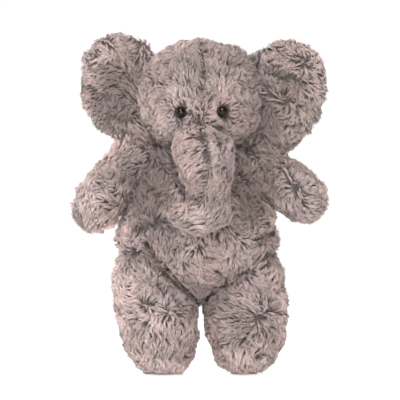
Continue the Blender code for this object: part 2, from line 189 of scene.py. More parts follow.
def limb(path, radii, rings, seg, up=(0, 1, 0), flat=1.0):
    """A tube along a path in mm, rounded at both ends."""
    p = np.array(path, float) * MM
    r = np.array(radii, float) * MM
    fine = catmull(np.hstack([p, r[:, None]]), 40)
    q, rr = fine[:, :3], fine[:, 3]
    t = unit(np.gradient(q, axis=0))
    upv = np.array(up, float)
    stations = []

    def frame_at(tt):
        a = np.cross(upv, tt)
        a /= np.linalg.norm(a)
        return a, np.cross(tt, a)

    a, b = frame_at(t[0])
    for deg in (90, 72, 54, 36, 18):
        s, c = math.sin(math.radians(deg)), math.cos(math.radians(deg))
        c = max(c, 0.012)
        stations.append((q[0] - t[0] * rr[0] * s, a * rr[0] * c, b * rr[0] * c * flat))
    for i in range(0, 40, 3):
        a, b = frame_at(t[i])
        stations.append((q[i], a * rr[i], b * rr[i] * flat))
    a, b = frame_at(t[-1])
    for deg in (18, 36, 54, 72, 90):
        s, c = math.sin(math.radians(deg)), math.cos(math.radians(deg))
        c = max(c, 0.012)
        stations.append((q[-1] + t[-1] * rr[-1] * s, a * rr[-1] * c, b * rr[-1] * c * flat))
    return loft(stations, rings, seg)


def ear(outline, middle, y, thick, rings=15, seg=72, cup=0.004):
    """A padded dish from its outline (x, z) in mm."""
    o = np.array(outline, float) * MM
    o = np.vstack([o, o[:1]])
    loop = catmull(np.vstack([o[-2], o, o[1]]), (len(o) + 2) * 16)
    # even spacing once round, starting at the outline's first point
    first = 16 + 1
    loop = loop[first : first + (len(o) - 1) * 16 + 8]
    d = np.concatenate([[0], np.cumsum(np.linalg.norm(np.diff(loop, axis=0), axis=1))])
    close = d[20:][np.argmin(np.linalg.norm(loop[20:] - loop[0], axis=1))]
    w = np.linspace(0, close, seg, endpoint=False)
    rim = np.stack([np.interp(w, d, loop[:, 0]), np.interp(w, d, loop[:, 1])], 1)
    m = np.array(middle) * MM
    v, f = [], []
    prof = []
    half = rings // 2 + 1
    for k in range(half + 1):  # the front, from the middle to the rim
        a = math.radians(90 * k / half)
        prof.append((math.sin(a) ** 0.8, -math.cos(a) ** 0.75))
    for k in range(half - 1, -1, -1):
        a = math.radians(90 * k / half)
        prof.append((math.sin(a) ** 0.8, math.cos(a) ** 0.75))
    v.append((m[0], y * MM - thick * MM + cup, m[1]))
    for rho, h in prof[1:-1]:
        dish = cup * (1 - rho**2) * 1.0
        for p in rim:
            xz = m + (p - m) * rho
            v.append((xz[0], y * MM + h * thick * MM + dish, xz[1]))
    v.append((m[0], y * MM + thick * MM + cup, m[1]))
    k = len(prof) - 2
    f = [(0, 1 + j, 1 + (j + 1) % seg) for j in range(seg)]
    for i in range(k - 1):
        for j in range(seg):
            n_ = (j + 1) % seg
            f.append((1 + i * seg + j, 1 + (i + 1) * seg + j, 1 + (i + 1) * seg + n_, 1 + i * seg + n_))
    last = len(v) - 1
    f += [(last, 1 + (k - 1) * seg + (j + 1) % seg, 1 + (k - 1) * seg + j) for j in range(seg)]
    s = Skin(v, f)
    if ((s.v - s.v.mean(0)) * s.n).sum() < 0:
        s = Skin(v, [tuple(reversed(q)) for q in f])
    return s


# ------------------------------------------------------------------ the covers' shapes, in mm
TX = -3.5
torso = upright(
    [
        (73.0, 0.5, 0.5, 10, TX), (75.5, 11, 11, 10, TX), (82, 25, 24, 9, TX), (96, 47, 42, 6, TX), (108, 62, 50, 4, TX),
        (120, 72.5, 56, 4, TX), (134, 77.0, 58, 4, TX), (160, 72, 55.5, 5.5, TX), (185, 64, 50, 7.5, TX), (204, 58, 39, 9, -3), (218, 52, 31, 8, -2),
        (228, 47, 24, 8, -2), (235, 37, 18, 8, -1), (240, 20, 12, 8, 0), (242, 0.5, 0.5, 8, 0),
    ],
    64, 84,
)

rows = []
for i in range(21):
    a = math.radians(-90 + 180 * i / 20)
    c = max(math.cos(a), 0.008)
    s = math.sin(a)
    full = c ** (0.80 if s < 0 else 0.90)
    rows.append((279.0 + 52.0 * s, 57.8 * full, 54.5 * full, -3 + 3.0 * s))
head = upright(rows, 60, 84)

neck = upright([(207, 0.5, 0.5, 2), (210, 14, 14, 2), (218, 24, 24, 2), (233, 28, 28, 2), (248, 24, 24, 2), (256, 14, 14, 2), (259, 0.5, 0.5, 2)], 24, 40)

trunk = limb(
    [(1, -54, 237), (2.5, -63, 225), (4.5, -73, 210), (6.0, -81, 197), (6.5, -87, 186)],
    [24.5, 25.0, 21.4, 18.4, 17.4], 44, 48, up=(1, 0, 0),
)
# the root meets the face in a low point just under the eyes
rise = np.clip(trunk.v[:, 2] - 0.233, 0, 1)
trunk.v[:, 0] -= (trunk.v[:, 0] - 0.0) * np.clip(rise / 0.050, 0, 0.6)
trunk.v[:, 2] -= rise * 0.30
trunk.v[:, 1] += 0.75 * np.clip(trunk.v[:, 2] - 0.224, 0, 1)
trunk.update()
tip = limb(
    [(6.5, -88, 183), (6.5, -89, 173), (3.5, -90, 165), (-4.5, -90.5, 160.5), (-13, -91, 159.5), (-20, -91, 160.5)],
    [17.4, 17.6, 17.8, 16.4, 11.5, 7.4], 44, 44, up=(0, 1, 0),
)

P = lambda pts: [(x - 201.0, 375.0 - y) for x, y in pts]
ear_r = ear(
    P([(117, 35.5), (102, 39), (90.5, 49.5), (85, 65.5), (82.5, 80), (83.5, 95), (87, 108), (94, 120), (103, 129.5), (119, 137), (136, 141), (150, 139), (157, 124), (157, 104), (156, 84), (154, 64), (146, 48), (133, 39)]),
    (-83, 289), 9, 8.0,
)
ear_l = ear(
    P([(288, 44), (304, 45), (316.5, 54), (322, 66), (324, 80.5), (323.5, 94), (320.5, 108), (314, 120), (306, 131), (298, 141), (288, 148), (274, 152), (260, 153), (247, 149), (242, 134), (243, 110), (245, 88), (248, 68), (257, 54), (271, 47)]),
    (86, 278), 9, 8.0,
)

arm_r = limb([(-68, 5, 211.5), (-85, 3.5, 196), (-97, 2.5, 181), (-104.5, 1.5, 167.5)], [21.5, 21.6, 21.2, 19.2], 40, 44, up=(0, 1, 0))
arm_l = limb([(64, 5, 206), (78, 3.5, 196), (91, 2.5, 185.5), (102, 1.5, 176.5)], [21.5, 21.0, 20.6, 19.6], 40, 44, up=(0, 1, 0))


def leg(px, bottom, side):
    rows = [(131.0, 0.5, 0.5, 4, px), (129.5, 11, 11, 4, px), (123, 25, 25, 4, px), (112, 33.5, 33.5, 4, px), (100, 37.5, 37.5, 4, px), (86, 37.2, 38.3, 3.5, px)]
    for z, dx, rx, ry, y in bottom:
        rows.append((z, rx, ry, y, px + dx))
    return upright(rows, 60, 60)


leg_r = leg(-45, [(70, 1.0, 36.8, 38.5, 2), (55, 2.2, 36.4, 38.8, -0.5), (41, 4.2, 35.4, 38.5, -3), (29, 5.6, 32.6, 37, -5), (18.5, 6.6, 28.8, 33.5, -6), (10, 7.0, 22.8, 28.0, -6), (4, 7.0, 12.0, 17, -6), (1.4, 7.0, 5.5, 8, -6), (1.0, 7.0, 0.5, 0.5, -6)], -1)
leg_l = leg(42, [(70, 1.2, 37.8, 38.5, 2), (55, 2.2, 37.0, 38.8, -0.5), (41, 2.0, 35.4, 38.5, -3), (29, 1.6, 31.0, 36, -5), (18.5, 1.6, 25.4, 32.0, -6), (10, 2.0, 17.6, 25.5, -6), (4, 2.4, 6.8, 13, -6), (1.6, 2.5, 2.6, 5, -6), (1.3, 2.5, 0.5, 0.5, -6)], 1)

tail = limb([(-3.5, 58.5, 113), (-3.2, 64, 106), (-2.4, 70, 98), (-1.6, 76, 91)], [6.6, 6.2, 6.2, 6.8], 20, 20, up=(1, 0, 0))

skins = {
    "torso": torso, "head": head, "neck": neck, "trunk": trunk, "trunk_tip": tip, "ear_right": ear_r, "ear_left": ear_l,
    "arm_right": arm_r, "arm_left": arm_l, "leg_right": leg_r, "leg_left": leg_l, "tail": tail,
}

# lumps of the stuffing under the cloth
lump_big, lump_small = Waves(3, 0.055), Waves(4, 0.021)
for name, s in skins.items():
    big, small = (0.9, 0.35) if name not in ("tail", "neck") else (0.2, 0.1)
    amount = (big * lump_big(s.v) + small * lump_small(s.v)) * MM
    if name.startswith("leg"):
        amount *= smooth(0.0, 0.012, s.v[:, 2])
    s.push(amount)


EYES = {"right": (-20.5, 261.5), "left": (21.5, 262.0)}
s = skins["head"]
for x, z in EYES.values():
    d = np.hypot(s.v[:, 0] - x * MM, s.v[:, 2] - z * MM)
    s.v[:, 1] -= 1.9 * MM * np.exp(-((d / 0.012) ** 2)) * (s.v[:, 1] < 0)
s.update()

# the belly panel ends in a V: above it the belly stands out, below it the legs do
VEE = np.array([(-90, 150), (-62, 138), (-48, 125), (-35, 108), (-22, 92), (-12, 82), (-3, 73), (3, 72), (15, 84), (29, 94), (42, 103), (54, 112), (66, 126), (90, 146)]) * MM


def over_vee(v):
    return v[:, 2] - np.interp(v[:, 0], VEE[:, 0], VEE[:, 1])


for name in ("torso", "leg_right", "leg_left"):
    s = skins[name]
    over = over_vee(s.v)
    face = smooth(0.010, -0.012, s.v[:, 1])
    if name == "torso":
        amount = -6.5 * smooth(0.001, -0.010, over) + 2.2 * smooth(0.0, 0.014, over) * smooth(0.055, 0.020, over)
    else:
        amount = -8.0 * smooth(-0.001, 0.009, over) + 1.0 * smooth(-0.002, -0.014, over)
    s.v[:, 1] -= face * amount * MM
    s.update()

# ------------------------------------------------------------------ seams
class Seam:
    """A sewn line on one cover's front, from picture-plane points in mm."""

    # dark is painted shade on the pile beside the line's groove, fading over soft
    def __init__(self, skin, pts, depth=2.2, width=3.4, bare=0.8, dark=1.0, soft=4.0):
        line = catmull(np.array(pts, float) * MM, 5 * len(pts))
        at = [skin.front(x, z) for x, z in line]
        self.p = np.array([p for p in at if p is not None])
        self.depth, self.width = depth * MM, width * MM
        self.bare, self.dark, self.soft = bare * MM, dark, soft * MM

    def near(self, pts, flat=False):
        """Distance to the line and the way out from it; flat = as seen from the front."""
        a, b = self.p[:-1], self.p[1:]
        if flat:
            only = np.array([1.0, 0, 1.0])
            pts, a, b = pts * only, a * only, b * only
        best = np.full(len(pts), 9.0)
        away = np.zeros((len(pts), 3))
        for p, q in zip(a, b):
            d = q - p
            t = np.clip(((pts - p) @ d) / max(d @ d, 1e-12), 0, 1)
            off = pts - (p + t[:, None] * d)
            r = np.linalg.norm(off, axis=1)
            closer = r < best
            best[closer] = r[closer]
            away[closer] = off[closer]
        return best, unit(away)


SEAMS = {k: [] for k in skins}


def seam(name, pts, **more):
    s = Seam(skins[name], P(pts), **more)
    if len(s.p) > 1:
        SEAMS[name].append(s)


seam("head", [(202, 44), (204, 62), (204, 78), (202, 92), (200.5, 106), (199, 123)], depth=0.9, width=2.8, bare=0.3, dark=0.4)
seam("head", [(199, 123.5), (193, 128), (184, 135), (173, 146)], depth=2.0, width=2.2, bare=1.0, dark=0.8, soft=2.4)
seam("head", [(199, 123.5), (207, 126), (214, 132), (221, 141)], depth=3.2, width=1.9, bare=1.5, dark=0.5, soft=2.2)
seam("head", [(199, 123.5), (195.5, 119.5), (191, 115)], depth=3.2, width=1.9, bare=1.4, dark=0.5, soft=2.2)
seam("head", [(199, 123.5), (203, 119), (204, 112)], depth=3.2, width=1.9, bare=1.4, dark=0.5, soft=2.2)
seam("head", [(240, 58), (248, 68), (253, 80), (257, 98), (256, 116)], depth=1.8, width=2.8, dark=0.8)
seam("head", [(162, 55), (152, 70), (146, 88), (144, 108), (149, 126)], depth=1.0, width=3.0, dark=0.3)
seam("trunk", [(199, 125), (207, 127), (213, 132), (217, 139), (219, 144)], depth=2.8, width=1.9, bare=1.5, dark=0.5, soft=2.2)
seam("trunk", [(199, 125), (193, 128.5), (187, 133)], depth=2.0, width=2.0, bare=1.2, dark=0.5, soft=2.2)
seam("trunk", [(200, 126), (203, 140), (206, 154), (208.5, 166), (207, 178), (202, 190)], depth=2.2, width=2.0, bare=1.1, dark=0.7, soft=2.2)
seam("trunk_tip", [(206, 186), (205, 194), (204, 200)], depth=1.0, width=2.4, dark=0.4)
for part in ("torso", "leg_right", "leg_left"):
    if part != "leg_left":
        seam(part, [(146, 243), (153, 250), (166, 267), (179, 283), (189, 293), (198, 302)], depth=3.0, width=3.4, bare=2.2, dark=2.2)
    if part != "leg_right":
        seam(part, [(264, 252), (255, 263), (243, 272), (230, 281), (216, 291), (204, 303)], depth=3.0, width=3.4, bare=2.2, dark=2.2)
seam("torso", [(276, 233), (268, 234.5), (260, 237)], depth=2.6, width=2.4, bare=1.4, dark=1.6)
seam("torso", [(139, 182), (136, 196), (130, 208), (124, 216)], depth=2.0, width=3.0, bare=1.2, dark=1.3)
seam("torso", [(262, 170), (263, 184), (268, 202)], depth=1.6, width=3.0, bare=1.0, dark=1.2)
seam("ear_right", [(84, 86), (92, 87), (99, 92), (108, 96)], depth=2.0, width=3.0, bare=1.0, dark=1.3)
seam("ear_right", [(98, 99), (108, 111), (120, 117), (134, 116)], depth=1.6, width=5.0, dark=0.8)
seam("ear_left", [(268, 73), (280, 78), (292, 76), (303, 84)], depth=1.8, width=4.0, bare=0.9, dark=1.1)
seam("leg_right", [(166, 262), (178, 278), (190, 292)], depth=0.8, width=4.0)

for name, s in skins.items():
    for line in SEAMS[name]:
        d, _ = line.near(s.v)
        s.push(-line.depth * np.exp(-((d / line.width) ** 2)))

# ------------------------------------------------------------------ materials


def clear_nodes(name):
    m = bpy.data.materials.new(name)
    m.use_nodes = True
    t = m.node_tree
    return m, t, t.nodes["Principled BSDF"]


# columns of the pile's palette: tint and lightness, as linear colour
TINTS = [(0.955, 0.985, 1.03), (0.985, 0.995, 1.01), (1.01, 1.0, 0.99), (1.035, 0.995, 0.975)]
LIGHT = [0.44, 0.60, 0.76, 0.91, 1.05, 1.19, 1.36, 1.56]
PILE = np.array([0.480, 0.371, 0.346])
COLS = [tuple(PILE * np.array(t) * l) for t in TINTS for l in LIGHT]


def pile_material(name, gain=1.0):
    m, t, p = clear_nodes(name)
    uv = t.nodes.new("ShaderNodeUVMap")
    uv.uv_map = "OFBake"
    sep = t.nodes.new("ShaderNodeSeparateXYZ")
    t.links.new(uv.outputs[0], sep.inputs[0])
    ramp = t.nodes.new("ShaderNodeValToRGB")
    ramp.color_ramp.interpolation = "CONSTANT"
    el = ramp.color_ramp.elements
    while len(el) < len(COLS):
        el.new(len(el) / 34)
    for i, c in enumerate(COLS):
        el[i].position = i / len(COLS)
        el[i].color = (*[min(x * gain, 1) for x in c], 1)
    t.links.new(sep.outputs[0], ramp.inputs[0])
    # down each strand: painted shade at the root, deep in the pile, and painted light towards the tip
    along = t.nodes.new("ShaderNodeValToRGB")
    el = along.color_ramp.elements
    for pos, v in ((0.0, 0.14), (0.22, 0.32), (0.5, 0.79), (0.8, 1.05), (1.0, 1.22)):
        e = el[0] if pos == 0.0 else (el[1] if pos == 1.0 else el.new(pos))
        e.position = pos
        e.color = (v, v * (0.985 if v < 0.5 else 1.0), v * (0.97 if v < 0.5 else 1.0), 1)
    t.links.new(sep.outputs[1], along.inputs[0])
    # faint uneven dye along each tuft
    noise = t.nodes.new("ShaderNodeTexNoise")
    noise.inputs["Scale"].default_value = 9.0
    noise.inputs["Detail"].default_value = 3.0
    t.links.new(uv.outputs[0], noise.inputs["Vector"])
    lift = t.nodes.new("ShaderNodeMapRange")
    lift.inputs["To Min"].default_value = 0.90
    lift.inputs["To Max"].default_value = 1.10
    t.links.new(noise.outputs[0], lift.inputs["Value"])
    mul = t.nodes.new("ShaderNodeVectorMath")
    mul.operation = "MULTIPLY"
    t.links.new(ramp.outputs[0], mul.inputs[0])
    t.links.new(along.outputs[0], mul.inputs[1])
    mul2 = t.nodes.new("ShaderNodeVectorMath")
    mul2.operation = "SCALE"
    t.links.new(mul.outputs[0], mul2.inputs[0])
    t.links.new(lift.outputs[0], mul2.inputs["Scale"])
    t.links.new(mul2.outputs[0], p.inputs["Base Color"])
    p.inputs["Roughness"].default_value = 0.62
    p.inputs["Specular IOR Level"].default_value = 0.28
    p.inputs["Sheen Weight"].default_value = 0.22
    p.inputs["Sheen Roughness"].default_value = 0.45
    p.inputs["Sheen Tint"].default_value = (1.0, 0.95, 0.93, 1)
    return m


def cloth_with_painted_shade(name):
    m, t, p = clear_nodes(name)
    co = t.nodes.new("ShaderNodeTexCoord")
    n1 = t.nodes.new("ShaderNodeTexNoise")
    n1.inputs["Scale"].default_value = 320.0
    n1.inputs["Detail"].default_value = 6.0
    t.links.new(co.outputs["Object"], n1.inputs["Vector"])
    # the cloth's own weave, darkened to near black: painted shade for the gaps between strands and the seam grooves
    r = t.nodes.new("ShaderNodeValToRGB")
    r.color_ramp.elements[0].color = (0.027, 0.021, 0.020, 1)
    r.color_ramp.elements[1].color = (0.082, 0.064, 0.060, 1)
    r.color_ramp.elements[0].position = 0.32
    r.color_ramp.elements[1].position = 0.70
    t.links.new(n1.outputs[0], r.inputs[0])
    t.links.new(r.outputs[0], p.inputs["Base Color"])
    b = t.nodes.new("ShaderNodeBump")
    b.inputs["Strength"].default_value = 0.5
    b.inputs["Distance"].default_value = 0.0006
    t.links.new(n1.outputs[0], b.inputs["Height"])
    t.links.new(b.outputs[0], p.inputs["Normal"])
    p.inputs["Roughness"].default_value = 0.95
    return m


def eye_material():
    m, t, p = clear_nodes("eye_resin")
    co = t.nodes.new("ShaderNodeTexCoord")
    length = t.nodes.new("ShaderNodeVectorMath")
    length.operation = "LENGTH"
    flat = t.nodes.new("ShaderNodeVectorMath")
    flat.operation = "MULTIPLY"
    flat.inputs[1].default_value = (1, 1, 0)
    t.links.new(co.outputs["Object"], flat.inputs[0])
    t.links.new(flat.outputs[0], length.inputs[0])
    r = t.nodes.new("ShaderNodeValToRGB")
    el = r.color_ramp.elements
    el[0].position, el[0].color = 0.0, (0.0025, 0.002, 0.002, 1)
    el[1].position, el[1].color = 0.72, (0.003, 0.002, 0.002, 1)
    for pos, c in ((0.79, (0.014, 0.006, 0.003)), (0.88, (0.040, 0.017, 0.008)), (0.95, (0.014, 0.006, 0.003)), (1.0, (0.003, 0.002, 0.002))):
        e = el.new(pos)
        e.color = (*c, 1)
    scale = t.nodes.new("ShaderNodeMath")
    scale.operation = "MULTIPLY"
    scale.inputs[1].default_value = 1 / 0.0061
    t.links.new(length.outputs["Value"], scale.inputs[0])
    n = t.nodes.new("ShaderNodeTexNoise")
    n.inputs["Scale"].default_value = 900.0
    t.links.new(co.outputs["Object"], n.inputs["Vector"])
    mix = t.nodes.new("ShaderNodeMath")
    mix.operation = "MULTIPLY_ADD"
    mix.inputs[1].default_value = 0.05
    t.links.new(n.outputs[0], mix.inputs[0])
    t.links.new(scale.outputs[0], mix.inputs[2])
    t.links.new(mix.outputs[0], r.inputs[0])
    t.links.new(r.outputs[0], p.inputs["Base Color"])
    p.inputs["Roughness"].default_value = 0.05
    p.inputs["Specular IOR Level"].default_value = 0.19
    p.inputs["IOR"].default_value = 1.5
    return m


def plain_material(name, colour, rough, scale=60.0, spread=0.12):
    m, t, p = clear_nodes(name)
    co = t.nodes.new("ShaderNodeTexCoord")
    n = t.nodes.new("ShaderNodeTexNoise")
    n.inputs["Scale"].default_value = scale
    n.inputs["Detail"].default_value = 4.0
    t.links.new(co.outputs["Object"], n.inputs["Vector"])
    r = t.nodes.new("ShaderNodeValToRGB")
    r.color_ramp.elements[0].color = (*[c * (1 - spread) for c in colour], 1)
    r.color_ramp.elements[1].color = (*[min(c * (1 + spread), 1) for c in colour], 1)
    t.links.new(n.outputs[0], r.inputs[0])
    t.links.new(r.outputs[0], p.inputs["Base Color"])
    p.inputs["Roughness"].default_value = rough
    return m


CLOTH_SHADED = cloth_with_painted_shade("pile_cloth_painted_shade")
PILE_MAT = pile_material("long_pile")
EYE_MAT = eye_material()
WASHER = plain_material("washer_plastic", (0.76, 0.76, 0.74), 0.42)

# ------------------------------------------------------------------ how the pile is combed
flow_big, flow_small, curl_noise = Waves(11, 0.060, 20, 3), Waves(12, 0.026, 22, 3), Waves(13, 0.012, 20, 3)
height_noise, tint_noise, light_noise = Waves(14, 0.017, 18), Waves(15, 0.075, 14), Waves(16, 0.024, 16)


def whorl(p, at, reach, turn=0.0):
    """Outward from a point on the front, with a twist; and how strongly."""
    c = np.array([at[0] * MM, 0, at[1] * MM])
    d = p - c
    d[:, 1] = 0
    r = np.linalg.norm(d, axis=1)
    out = unit(d)
    twist = np.stack([-out[:, 2], np.zeros(len(p)), out[:, 0]], 1)
    w = np.exp(-((r / (reach * MM)) ** 2)) * (p[:, 1] < 0.01)
    return out * math.cos(turn) + twist * math.sin(turn), w


def comb(name, p, n):
    """The lie of the pile at points p."""
    x, y, z = p.T
    down = np.tile([0.0, 0, -1.0], (len(p), 1))
    side = np.sign(x)[:, None] * np.array([1.0, 0, 0])
    if name == "head":
        c = down * 0.55 + side * 0.75 * smooth(0, 0.02, np.abs(x))[:, None] + np.array([0, 0.35, 0])
        w_dir, w = whorl(p, (-2, 252), 78, 0.08)
        w = np.clip(w * 1.4, 0, 0.92) * smooth(0.012, -0.012, y)
        c = c * (1 - w)[:, None] + w_dir * (w * 1.1)[:, None]
        for e in EYES.values():
            w_dir, w = whorl(p, e, 11)
            c = c * (1 - w)[:, None] + w_dir * (w * 1.6)[:, None]
        gain = 0.6
    elif name in ("trunk", "trunk_tip"):
        mid = np.interp(z, [0.150, 0.183, 0.238], [0.004, 0.0065, 0.001])
        off = np.sign(x - mid)[:, None] * smooth(0, 0.003, np.abs(x - mid))[:, None] * np.array([1.0, 0, 0])
        c = down * 0.78 + off * 0.10 + np.array([-0.55, 0, 0])
        if name == "trunk_tip":
            w = smooth(0.176, 0.160, z)[:, None]
            c = c * (1 - w) + (np.array([-0.75, 0, -0.35]) + off * 0.2) * w
        if name == "trunk":
            w_dir, _ = whorl(p, (-1, 253), 30)
            w = smooth(0.226, 0.242, z)[:, None]
            c = c * (1 - w) + w_dir * w
        gain = 0.16
    elif name.startswith("ear"):
        s = -1 if name == "ear_right" else 1
        m = np.array([s * 0.070, 0, 0.292 if s < 0 else 0.284])
        d = p - m
        d[:, 1] = 0
        c = unit(d) * 0.35 + np.array([s * 0.40, 0, -0.55])
        gain = 0.65
    elif name.startswith("arm"):
        s = -1 if name == "arm_right" else 1
        a = np.array([-0.55, 0, -0.83]) if s < 0 else np.array([0.80, 0, -0.60])
        c = np.tile(a, (len(p), 1)) * 0.9 + np.array([0, 0.5 if s > 0 else 0.3, -0.2])
        gain = 0.6
    elif name.startswith("leg"):
        s = -1 if name == "leg_right" else 1
        c = down * 0.8 + side * 0.15
        w_dir, w = whorl(p, (-34, 62) if s < 0 else (56, 57), 34, -0.35 if s < 0 else 0.3)
        c = c * (1 - w)[:, None] + w_dir * (1.5 * w)[:, None]
        gain = 0.6
    elif name == "torso":
        c = down * 0.75 + side * 0.25
        gain = 0.95
    elif name == "tail":
        c = np.tile([0.05, 0.6, -0.78], (len(p), 1))
        gain = 0.2
    else:
        c = down
        gain = 0.4
    c = c + gain * (0.75 * flow_big(p) + 0.65 * flow_small(p))
    return c


# spots of painted light and painted shade on the pile's front, where the lighting falls brighter or darker: x, z, half
# width, half height in mm, change
PAINTED_LIGHT_SPOTS = {
    "torso": [(-56, 192, 24, 38, -4.6), (50, 197, 19, 38, -5.8), (-40, 222, 22, 14, -1.5), (46, 222, 20, 16, -4.0), (0, 150, 40, 12, -0.4), (6, 120, 34, 20, 2.0), (-40, 128, 14, 26, -1.0), (74, 136, 9, 20, 1.3), (-84, 120, 12, 50, 2.2)],
    "ear_right": [(-88, 285, 60, 60, -0.6), (-82, 274, 24, 30, -1.8), (-62, 298, 18, 26, -1.6), (-98, 322, 22, 12, 1.0), (-118, 264, 12, 26, 2.3), (-118, 312, 12, 18, 0.8), (-86, 238, 20, 8, 1.0)],
    "ear_left": [(84, 280, 60, 60, -0.7), (58, 258, 18, 36, -2.9), (104, 314, 18, 16, 0.6), (121, 296, 10, 30, 0.8)],
    "head": [(-42, 255, 20, 24, 0.9), (52, 270, 16, 40, -0.6), (-8, 302, 38, 15, -1.2), (0, 276, 20, 12, -0.4), (-30, 324, 22, 12, 0.5), (36, 322, 16, 12, 1.0), (56, 322, 10, 10, 1.0)],
    "arm_right": [(-112, 182, 20, 26, 1.3), (-66, 203, 20, 22, -1.9), (-92, 154, 20, 12, 2.0), (-90, 226, 14, 14, 1.8)],
    "arm_left": [(108, 180, 24, 28, 0.7), (60, 203, 24, 26, -1.8), (126, 178, 10, 24, 1.8)],
    "leg_right": [(-42, 12, 40, 14, 2.2), (-86, 70, 13, 60, 3.8), (-62, 55, 20, 30, 0.9), (-40, 84, 16, 16, -1.3), (-36, 60, 34, 18, 0.8)],
    "leg_left": [(48, 14, 38, 15, 2.4), (84, 62, 11, 50, 2.3), (22, 70, 18, 24, -1.0)],
    "trunk": [(-6, 215, 22, 40, 0.5), (27, 205, 9, 40, -0.8)],
    "trunk_tip": [(-16, 165, 20, 30, 0.5)],
}


# painted light and painted shade from these spots, faded out towards the back
def painted_light_spots(name, p):
    t = np.zeros(len(p))
    for x, z, w, h, amount in PAINTED_LIGHT_SPOTS.get(name, []):
        t += amount * np.exp(-(((p[:, 0] - x * MM) / (w * MM)) ** 2) - ((p[:, 2] - z * MM) / (h * MM)) ** 2)
    return t * smooth(0.03, 0.0, p[:, 1])


def keep_clear(name, pts):
    """Pile is left off where another cover sits over this one."""
    keep = np.ones(len(pts), bool)
    near = np.zeros(len(pts))
    against = {
        "torso": (("leg_right", 5.0), ("leg_left", 5.0), ("arm_right", 4.0), ("arm_left", 4.0), ("head", 3.5), ("neck", 2.0), ("tail", 1.5)),
        "head": (("trunk", 4.0), ("ear_right", 3.5), ("ear_left", 3.5), ("torso", 4.0)),
        "neck": (("head", 6.0), ("torso", 6.0)),
        "trunk": (("head", 3.0), ("trunk_tip", 3.0)),
        "trunk_tip": (("trunk", 3.0),),
        "ear_right": (("head", 3.5),),
        "ear_left": (("head", 3.5),),
        "arm_right": (("torso", 3.5),),
        "arm_left": (("torso", 3.5),),
        "leg_right": (("torso", 4.5),),
        "leg_left": (("torso", 4.5),),
        "tail": (("torso", 1.0),),
    }[name]
    for other, margin in against:
        idx = np.nonzero(keep)[0]
        s = skins[other]
        lo, hi = s.v.min(0) - 0.009, s.v.max(0) + 0.009
        close = ((pts[idx] > lo) & (pts[idx] < hi)).all(1)
        idx = idx[close]
        if len(idx):
            d = s.depth(pts[idx])
            keep[idx[d > margin * MM]] = False
            # how close the other cover lies, for shorter pile and painted shade in the crease
            near[idx] = np.maximum(near[idx], smooth(-0.009, 0.0, d))
    return keep, near


